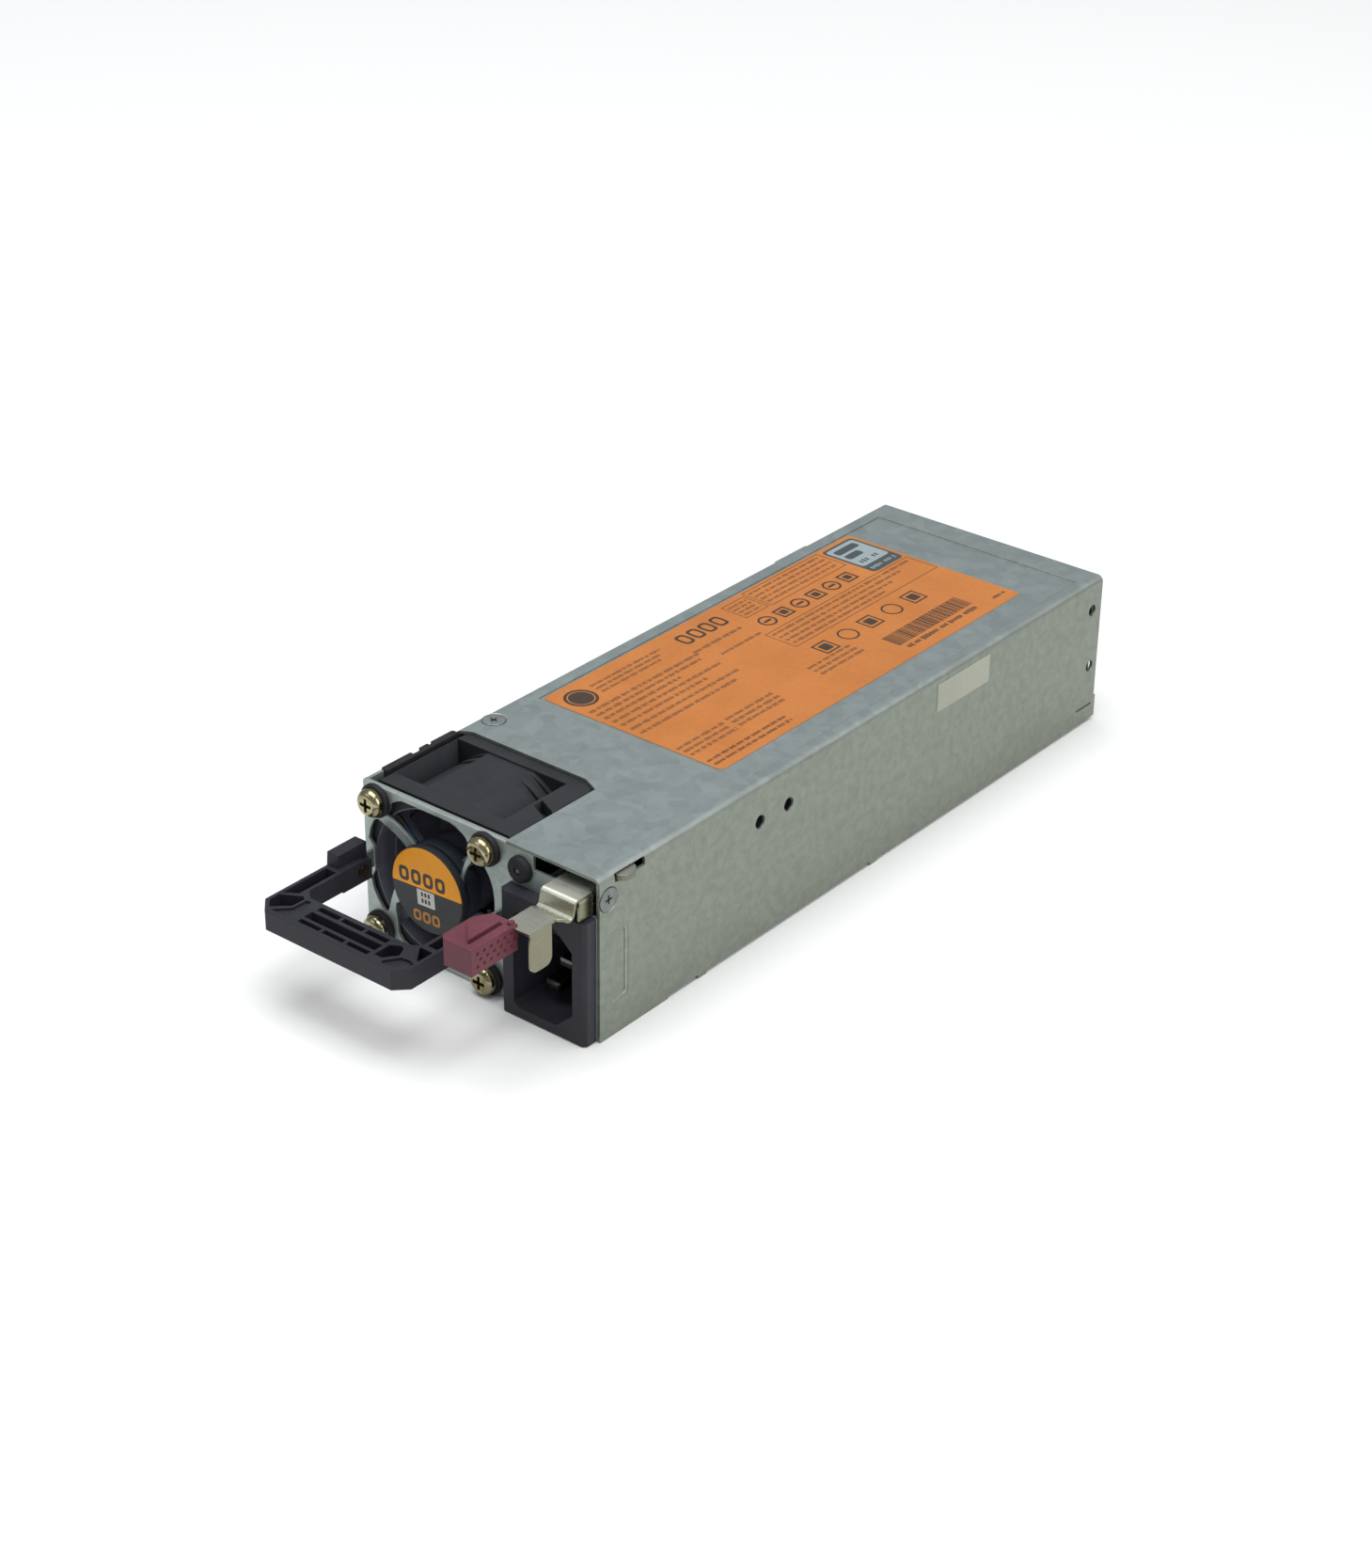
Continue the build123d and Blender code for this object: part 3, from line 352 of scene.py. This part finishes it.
# painted light: the rotor is a grey-blue far paler than black plastic, standing in for light inside the duct
M_ROTOR = moulded("m_rotor_plastic", (0.055, 0.055, 0.078), (0.105, 0.105, 0.142), rough=0.45, dust_and_light=0.1, spec=0.2)
M_HANDLE = moulded("m_handle_plastic", (0.0142, 0.0142, 0.0195), (0.0260, 0.0260, 0.0350), rough=0.50, grain=1900, dust_and_light=0.22, spec=0.24, bevel=0.3)
def in_recess(m, col):
    """The inlet's well is painted paler than its frame, more so further in: painted light standing in for light
    reaching the shaded recess, mottled with noise.
    """
    y = m.xyz()[1]
    deep = m.fit(y, (-3.5 - L / 2) / 1000, (2.5 - L / 2) / 1000, 0.0, 1.0)
    dust_and_light = m.noise(320, 4, 0.6)
    # painted light: the well's colour rises towards a pale grey-blue further in
    return m.mix(deep, col, m.mix(dust_and_light, (0.032, 0.032, 0.046), (0.062, 0.062, 0.084)))


# the inlet's tops are paled strongly, partly dust and partly painted light
M_INLET = moulded("m_inlet_plastic", (0.0136, 0.0136, 0.0190), (0.0232, 0.0232, 0.0308), rough=0.48, dust_and_light=0.8, spec=0.26, bevel=0.3, shade=in_recess)
M_PUCK = moulded("m_puck_plastic", (0.014, 0.016, 0.019), (0.028, 0.031, 0.036), rough=0.55, grain=1500, strength=0.3)
use("fan_frame", M_FAN)
use("fan_rotor", M_ROTOR)
use("handle", M_HANDLE)
use("inlet_body", M_INLET)
use("hub_puck", M_PUCK)
M_RUBBER = rubber("m_rubber", (0.0060, 0.0060, 0.0085), (0.0150, 0.0150, 0.0190))
M_FOAM = rubber("m_foam", (0.007, 0.007, 0.008), (0.018, 0.018, 0.020))
use("fan_grommets", M_RUBBER)
use("led_bushing", M_RUBBER)
use("side_gasket", M_FOAM)
M_BRASS = plated("m_yellow_zinc", (0.20, 0.175, 0.088), (0.335, 0.297, 0.172), (0.47, 0.437, 0.30), rough=0.20)
use("fan_screws", M_BRASS)
# the screw heads' sides get painted shade from the wall colour
M_SCREW = plated("m_bright_zinc", (0.34, 0.38, 0.385), (0.41, 0.45, 0.455), (0.49, 0.53, 0.535), rough=0.38, wall=(0.46, 0.46, 0.43))
use("cover_screws", M_SCREW)
use("latch_rivets", plated("m_dark_rivet", (0.05, 0.05, 0.05), (0.09, 0.09, 0.09), (0.15, 0.15, 0.145), rough=0.4))
# the latch's upright faces get painted shade from the wall colour
M_LATCH = brushed("m_latch_steel", (0.64, 0.645, 0.565), (0.80, 0.805, 0.705), axis="x", rough=0.27, wall=(0.32, 0.308, 0.243), sheltered=36.7)
use("latch_lever", M_LATCH)
use("latch_tail", M_LATCH)
M_CAP = moulded("m_cap_maroon", (0.104, 0.026, 0.039), (0.146, 0.040, 0.056), rough=0.50, dust_and_light=0.3, spec=0.25)
use("latch_cap", M_CAP)
M_PIN = plated("m_copper_pin", (0.045, 0.028, 0.022), (0.075, 0.046, 0.036), (0.12, 0.078, 0.06), rough=0.42)
use("handle_pins", M_PIN)
# the pins' upright faces get painted shade from the wall colour, leaving their top edges bright
use("inlet_pins", brushed("m_nickel_pin", (0.13, 0.128, 0.12), (0.19, 0.187, 0.175), axis="y", rough=0.26, wall=(0.12, 0.12, 0.125)))

M_LABEL = film("m_label_orange", (0.418, 0.141, 0.033), (0.482, 0.176, 0.048), rough=0.45, spec=0.22)
use("rating_label", M_LABEL)
M_STICKER = film("m_sticker_cream", (0.300, 0.312, 0.252), (0.360, 0.372, 0.305), rough=0.5, spec=0.3)
use("side_sticker", M_STICKER)

lens = Mat("m_lens_green")
lens.set(Base_Color=lens.mix(lens.noise(700, 2), (0.012, 0.045, 0.026), (0.030, 0.100, 0.058)), Roughness=lens.fit(lens.noise(900, 2), 0.3, 0.7, 0.10, 0.2),
         Transmission_Weight=0.35, IOR=1.49)
use("led_lens", lens.m)

disc = Mat("m_disc_print")
dx, dy, dz = disc.xyz()
upper = disc.math("GREATER_THAN", disc.math("MULTIPLY_ADD", dx, -0.0596, dz), 0.02115)
ink = disc.noise(420, 3, 0.55)
amber = disc.mix(ink, (0.745, 0.292, 0.0165), (0.855, 0.350, 0.026))
slate = disc.mix(ink, (0.030, 0.032, 0.034), (0.046, 0.048, 0.051))
disc.set(Base_Color=disc.mix(upper, slate, amber), Roughness=disc.fit(ink, 0.3, 0.7, 0.34, 0.46), Specular_IOR_Level=0.18, Normal=disc.bump(ink, 0.04, 0.05))
use("hub_disc", disc.m)

leads = Mat("m_lead_insulation")
lx, ly, lz = leads.xyz()
ca, sa = math.cos(math.radians(138)), math.sin(math.radians(138))
side = leads.math("MULTIPLY_ADD", leads.math("SUBTRACT", lx, (FX - W / 2) / 1000), sa,
                  leads.math("MULTIPLY", leads.math("SUBTRACT", lz, FZ / 1000), -ca))
wear = leads.noise(900, 2)
wires = leads.mix(leads.math("GREATER_THAN", side, 0.00092), leads.mix(wear, (0.20, 0.15, 0.035), (0.30, 0.23, 0.06)),
                  leads.mix(wear, (0.006, 0.022, 0.060), (0.012, 0.040, 0.100)))
sleeve = leads.math("GREATER_THAN", axis_radius(leads), 0.0146)
leads.set(Base_Color=leads.mix(sleeve, wires, leads.mix(wear, (0.008, 0.008, 0.011), (0.016, 0.016, 0.021))),
          Roughness=leads.fit(wear, 0.3, 0.7, 0.35, 0.5))
use("fan_leads", leads.m)

# ------------------------------------------------------------------ materials of the inside
use("insulator_sheet", moulded("m_insulator", (0.035, 0.035, 0.036), (0.055, 0.055, 0.056), rough=0.4))
M_BOARD = board("m_board")
use("main_board", M_BOARD)
use("control_board", M_BOARD)
M_GOLD = plated("m_gold", (0.72, 0.48, 0.16), (0.82, 0.58, 0.22), (0.90, 0.68, 0.32), rough=0.2)
use("edge_contacts", M_GOLD)
M_WIRE = windings("m_copper_winding", (0.22, 0.07, 0.02), (0.52, 0.20, 0.07))
for n_ in ("filter_choke_a", "filter_choke_b", "boost_choke", "output_choke"):
    use(n_, M_WIRE)
M_TAPE = film("m_yellow_tape", (0.48, 0.33, 0.03), (0.60, 0.43, 0.06))
for n_ in ("x_capacitor", "transformer_winding", "standby_transformer"):
    use(n_, M_TAPE)
M_CHIP = moulded("m_package", (0.010, 0.010, 0.011), (0.020, 0.020, 0.021), rough=0.5)
for n_ in ("relay", "bridge_rectifier", "boost_transistors", "control_chips"):
    use(n_, M_CHIP)
M_FERRITE = moulded("m_ferrite", (0.020, 0.020, 0.021), (0.040, 0.040, 0.041), rough=0.6, grain=1200, strength=0.4)
for n_ in ("transformer_core", "resonant_choke", "standby_core"):
    use(n_, M_FERRITE)
M_ALU = brushed("m_aluminium", (0.50, 0.51, 0.52), (0.66, 0.67, 0.68), axis="z", rough=0.36)
for n_ in ("bridge_heatsink", "boost_heatsink"):
    use(n_, M_ALU)
use("output_capacitors", brushed("m_can", (0.56, 0.57, 0.58), (0.72, 0.73, 0.74), axis="z"))
use("bulk_capacitor", film("m_sleeve", (0.012, 0.012, 0.015), (0.022, 0.022, 0.027), rough=0.28))
M_COPPER = brushed("m_copper_bar", (0.42, 0.19, 0.10), (0.60, 0.30, 0.17), axis="y")
use("rectifier_bars", M_COPPER)
use("output_busbar", M_COPPER)
M_POST = plated("m_post_zinc", (0.44, 0.46, 0.47), (0.55, 0.57, 0.58), (0.64, 0.66, 0.67), rough=0.3)
for n_ in ("board_posts", "board_screws", "line_fuse"):
    use(n_, M_POST)
use("y_capacitors", moulded("m_disc_blue", (0.03, 0.085, 0.24), (0.05, 0.13, 0.33), rough=0.35))
use("inlet_leads", moulded("m_inlet_lead", (0.030, 0.055, 0.13), (0.045, 0.08, 0.18), rough=0.42))

# ------------------------------------------------------------------ print on the label and on the hub disc
rng = random.Random(7)


def ink_mat(name, low, high, rough=0.45):
    m = Mat(name)
    n = m.noise(1500, 3, 0.6)
    m.set(Base_Color=m.mix(n, low, high), Roughness=m.fit(n, 0.3, 0.7, rough - 0.05, rough + 0.08), Specular_IOR_Level=0.35)
    return m.m


M_INK = ink_mat("m_ink_black", (0.030, 0.020, 0.015), (0.060, 0.040, 0.028))
M_INK_SOFT = ink_mat("m_ink_soft", (0.105, 0.050, 0.025), (0.150, 0.070, 0.034))
M_INK_SLATE = ink_mat("m_ink_slate", (0.040, 0.052, 0.058), (0.062, 0.076, 0.082))
M_INK_MIST = ink_mat("m_ink_mist", (0.235, 0.285, 0.300), (0.290, 0.340, 0.355))
M_INK_PALE = ink_mat("m_ink_pale", (0.44, 0.45, 0.41), (0.52, 0.53, 0.49))
M_INK_AMBER = ink_mat("m_ink_amber", (0.36, 0.14, 0.014), (0.43, 0.18, 0.024))


class Print:
    """Flat inked shapes laid on a face; 'to3' turns a page point into metres."""

    def __init__(self, name, to3, material, slot):
        self.name, self.to3, self.material, self.slot_name = name, to3, material, slot
        self.bm = bmesh.new()

    def poly(self, pts):
        self.bm.faces.new([self.bm.verts.new(self.to3(*q)) for q in pts])

    def bar(self, u0, v0, u1, v1, r=0.0):
        if r <= 0:
            self.poly([(u0, v0), (u1, v0), (u1, v1), (u0, v1)])
            return
        pts = []
        for cu, cv, a0 in ((u1 - r, v1 - r, 0), (u0 + r, v1 - r, 90), (u0 + r, v0 + r, 180), (u1 - r, v0 + r, 270)):
            for k in range(5):
                t = math.radians(a0 + 22.5 * k)
                pts.append((cu + r * math.cos(t), cv + r * math.sin(t)))
        self.poly(pts)

    def frame(self, u0, v0, u1, v1, w):
        self.bar(u0, v0, u1, v0 + w)
        self.bar(u0, v1 - w, u1, v1)
        self.bar(u0, v0 + w, u0 + w, v1 - w)
        self.bar(u1 - w, v0 + w, u1, v1 - w)

    def ring(self, u, v, r, w, n=32):
        for k in range(n):
            a, b = 2 * math.pi * k / n, 2 * math.pi * (k + 1) / n
            self.poly([(u + r * math.cos(a), v + r * math.sin(a)), (u + r * math.cos(b), v + r * math.sin(b)),
                       (u + (r - w) * math.cos(b), v + (r - w) * math.sin(b)), (u + (r - w) * math.cos(a), v + (r - w) * math.sin(a))])

    def oval(self, u0, v0, u1, v1, w, n=28):
        """Rounded outline of stroke w."""
        cu, cv, a, b = (u0 + u1) / 2, (v0 + v1) / 2, (u1 - u0) / 2, (v1 - v0) / 2

        def at(t, a, b):
            c, s_ = math.cos(t), math.sin(t)
            return (cu + a * math.copysign(abs(c) ** 0.6, c), cv + b * math.copysign(abs(s_) ** 0.6, s_))
        for k in range(n):
            t0, t1 = 2 * math.pi * k / n, 2 * math.pi * (k + 1) / n
            self.poly([at(t0, a, b), at(t1, a, b), at(t1, a - w, b - w), at(t0, a - w, b - w)])

    def row(self, u0, u1, v, h, pitch=5.0, ink=3.0):
        """A greeked line: word-long runs of plain upright strokes."""
        u = u0
        while u < u1 - pitch:
            for _ in range(rng.randint(3, 9)):
                if u > u1 - pitch:
                    break
                k = rng.choice((0.62, 0.7, 0.7, 0.85, 1.0))
                self.bar(u, v + h * (1 - k) / 2, u + ink, v + h * (1 + k) / 2)
                u += pitch
            u += pitch * rng.choice((0.8, 1.0, 1.3))

    def done(self):
        me = bpy.data.meshes.new(self.name)
        bmesh.ops.recalc_face_normals(self.bm, faces=self.bm.faces)
        self.bm.to_mesh(me)
        self.bm.free()
        o = bpy.data.objects.new(self.name, me)
        bpy.context.scene.collection.objects.link(o)
        me.materials.append(self.material)
        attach(o, "chassis")
        return o


def page(u, v):
    """Label page: u along the case, v across it, 12 units to the millimetre."""
    return case(4 + v / 12, 52 + u / 12, H - 0.13 + 0.02)


ink = Print("label_print", page, M_INK, "label_film")
soft = Print("label_small_print", page, M_INK_SOFT, "label_film")
ink.ring(96, 92, 50, 9)
ink.ring(96, 92, 37, 37)
for v in (60, 82, 104):
    soft.row(165, 470 - (v - 60), v, 13)
for k in range(4):
    ink.oval(543 + 52 * k, 52, 585 + 52 * k, 112, 9)
soft.frame(790, 34, 896, 132, 3)
for v in (48, 68, 88, 108):
    soft.row(802, 886, v, 12)
soft.frame(905, 20, 1275, 136, 3)
for v in (32, 56, 80, 104):
    soft.row(918, 1262, v, 13)
for i, v in enumerate((160, 186, 214, 244, 274, 308, 342)):
    soft.row(45, (520, 500, 380, 520, 420, 520, 470)[i], v, 16)
soft.row(515, 745, 148, 16)
soft.row(560, 745, 214, 14)
for k in range(6):
    u = 815 + 78 * k
    if k % 2:
        ink.frame(u - 27, 162, u + 27, 216, 7)
        ink.bar(u - 13, 176, u + 13, 202, 5)
    else:
        ink.ring(u, 189, 30, 7)
        ink.bar(u - 16, 184, u + 16, 194, 3)
soft.frame(735, 240, 1440, 356, 3)
for v in (252, 277, 302, 327):
    soft.row(750, 1425 - 3 * (v - 252), v, 14)
for k in range(5):
    u = 790 + 108 * k
    if k % 2:
        ink.ring(u, 420, 34, 6)
    else:
        ink.frame(u - 32, 388, u + 32, 452, 6)
        ink.bar(u - 18, 402, u + 18, 438, 6)
for v in (458, 482, 506):
    soft.row(645, 850, v, 14)
for v in (476, 500, 524):
    soft.row(38, 240, v, 15)
    soft.row(255, 465, v - 6, 15)
for v in (582, 606):
    ink.row(38, 380, v, 14)
u = 935
while u < 1300:
    w = rng.choice((4, 4, 6, 8))
    ink.bar(u, 512, min(u + w, 1300), 578)
    u += w + rng.choice((3, 3, 5))
ink.row(945, 1290, 590, 20, 9.0, 6.0)
ink.row(1370, 1432, 598, 14)
ink.done()
soft.done()
badge = Print("label_badge", page, M_INK_SLATE, "label_film")
badge.bar(1287, 28, 1438, 232, 16)
badge.done()


def page_up(u, v, lift=0.00001):
    p = page(u, v)
    return Vector((p.x, p.y, p.z + lift))


mark = Print("label_badge_mark", page_up, M_INK_MIST, "label_film")
mark.bar(1296, 38, 1429, 184, 12)
mark.row(1304, 1424, 200, 16, 9.0, 5.0)
mark.done()
block = Print("label_badge_blocks", lambda u, v: page_up(u, v, 0.00002), M_INK_SLATE, "label_film")
block.bar(1310, 54, 1414, 84, 10)
block.bar(1310, 96, 1380, 126, 10)
block.row(1316, 1418, 146, 24, 14.0, 8.0)
block.done()

# rolled edge of the pressed pocket in the right wall: three sides of a shallow ramp, in a zinc paler than the case's as
# a painted highlight
def pocket_edge():
    y1, z0, z1, r = 9.3, 8.4, 25.9, 1.4
    path = [((3.9 + 0.8 * k, z0), (0, 1)) for k in range(5)]
    for cz_, a0 in ((z0 + r, 270), (z1 - r, 0)):
        for k in range(9):
            t = math.radians(a0 + 90 * k / 8)
            path.append(((y1 - r + r * math.cos(t), cz_ + r * math.sin(t)), (-math.cos(t), -math.sin(t))))
    path += [((3.9 + 0.8 * k, z1), (0, -1)) for k in range(4, -1, -1)]
    bm_ = bmesh.new()
    rings = []
    for (y, z), (ny, nz) in path:
        d = 0.45 * (y - 3.4) / 5.9
        w = 0.9 * d / 0.45
        yi, zi = y + ny * w, z + nz * w
        di = 0.45 * max(yi - 3.4, 0.0) / 5.9
        rings.append([bm_.verts.new(case(*q)) for q in ((W - 0.015, y, z), (W - 0.22 * d, y + 0.35 * ny * w, z + 0.35 * nz * w),
                                                        (W - 0.72 * di, y + 0.68 * ny * w, z + 0.68 * nz * w), (W - di + 0.012, yi, zi), (W - d, y, z))])
    for a, b in zip(rings, rings[1:]):
        for i in range(5):
            bm_.faces.new((a[i], a[(i + 1) % 5], b[(i + 1) % 5], b[i]))
    bm_.faces.new(rings[0])
    bm_.faces.new(rings[-1])
    bmesh.ops.recalc_face_normals(bm_, faces=bm_.faces)
    me_ = bpy.data.meshes.new("pocket_edge")
    bm_.to_mesh(me_)
    bm_.free()
    for f in me_.polygons:
        f.use_smooth = True
    o = bpy.data.objects.new("pocket_edge", me_)
    bpy.context.scene.collection.objects.link(o)
    # painted highlight: this zinc is paler than the case's, and its wall colour gives the upright faces painted shade
    me_.materials.append(zinc("m_edge_zinc_highlight", (0.34, 0.375, 0.355), (0.42, 0.455, 0.430), (0.50, 0.535, 0.505), rough=0.30, bevel=0.12, rolled="x", wall=(0.64, 0.64, 0.60)))
    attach(o, "chassis")


pocket_edge()

tilt = math.radians(3.4)


def on_disc(u, v, lift=0.0):
    """Disc page in millimetres about its centre, turned with the print."""
    return case(FX + u * math.cos(tilt) - v * math.sin(tilt), -1.92 - 0.015 - lift, FZ + u * math.sin(tilt) + v * math.cos(tilt))


square = Print("disc_square", on_disc, M_INK_PALE, "sticker_paper")
square.bar(-3.1, -4.05, 2.1, -0.10, 0.15)
square.done()
dots = Print("disc_marks", lambda u, v: on_disc(u, v, 0.012), M_INK, "disc_print")
for v in (-1.75, -3.35):
    for k in range(3):
        dots.bar(-1.9 + 1.0 * k, v, -1.25 + 1.0 * k, v + 1.1, 0.12)
for k in range(4):
    dots.oval(-8.15 + 3.62 * k, 0.85, -5.2 + 3.62 * k, 4.45, 0.85)
dots.done()
low = Print("disc_lower_marks", on_disc, M_INK_AMBER, "disc_print")
for k in range(3):
    low.oval(-4.7 + 2.8 * k, -8.3, -2.35 + 2.8 * k, -5.5, 0.62)
low.done()

# ------------------------------------------------------------------ camera, floor, light
cam_data = bpy.data.cameras.new("camera")
cam = bpy.data.objects.new("camera", cam_data)
bpy.context.scene.collection.objects.link(cam)
az, el, roll = math.radians(38.71), math.radians(29.19), math.radians(0.75)
back = Vector((math.sin(az) * math.cos(el), -math.cos(az) * math.cos(el), math.sin(el)))
rt = (-back).cross(Vector((0, 0, 1))).normalized()
up = rt.cross(-back)
r2 = math.cos(roll) * rt + math.sin(roll) * up
u2 = -math.sin(roll) * rt + math.cos(roll) * up
place = Vector((0, 0, 0.0209)) - (0.01655 * r2 + 0.00962 * u2 - 0.7398 * back)
cam.matrix_world = Matrix(((r2.x, u2.x, back.x, place.x), (r2.y, u2.y, back.y, place.y),
                           (r2.z, u2.z, back.z, place.z), (0, 0, 0, 1)))
cam_data.sensor_fit = "AUTO"
cam_data.sensor_width = 36.0
cam_data.lens = 3299.74 / 1667 * 36.0
cam_data.clip_start, cam_data.clip_end = 0.01, 50.0
bpy.context.scene.camera = cam

bm = bmesh.new()
bmesh.ops.create_grid(bm, x_segments=2, y_segments=2, size=4.0)
me = bpy.data.meshes.new("floor")
bm.to_mesh(me)
bm.free()
floor = bpy.data.objects.new("floor", me)
bpy.context.scene.collection.objects.link(floor)
fm = Mat("m_floor")
fm.set(Base_Color=fm.mix(fm.noise(3, 2), (0.805, 0.805, 0.805), (0.825, 0.825, 0.825)), Roughness=0.9, Specular_IOR_Level=0.1)
me.materials.append(fm.m)

world = bpy.data.worlds.new("studio")
bpy.context.scene.world = world
world.use_nodes = True
bg = world.node_tree.nodes.get("Background")
bg.inputs["Color"].default_value = (0.98, 0.99, 1.0, 1.0)
bg.inputs["Strength"].default_value = 0.36


def area(name, loc, target, size, power, color=(1, 1, 1)):
    d = bpy.data.lights.new(name, "AREA")
    d.shape = "RECTANGLE"
    d.size, d.size_y = size
    d.energy = power
    d.color = color
    o = bpy.data.objects.new(name, d)
    o.location = loc
    o.rotation_euler = (Vector(target) - Vector(loc)).to_track_quat("-Z", "Y").to_euler()
    bpy.context.scene.collection.objects.link(o)
    return o


area("overhead", (0.02, -0.16, 2.2), (0.0, 0.0, 0), (2.1, 1.9), 57.0, (0.97, 0.99, 1.0))
area("key_right", (1.05, -0.05, 0.58), (0, 0, 0.02), (0.6, 0.8), 4.6, (1.0, 0.99, 0.93))
area("front_left", (-0.55, -0.95, 0.7), (0, 0, 0.02), (0.6, 0.5), 0.9)

bpy.context.scene.view_settings.view_transform = "Standard"
bpy.context.scene.view_settings.look = "None"
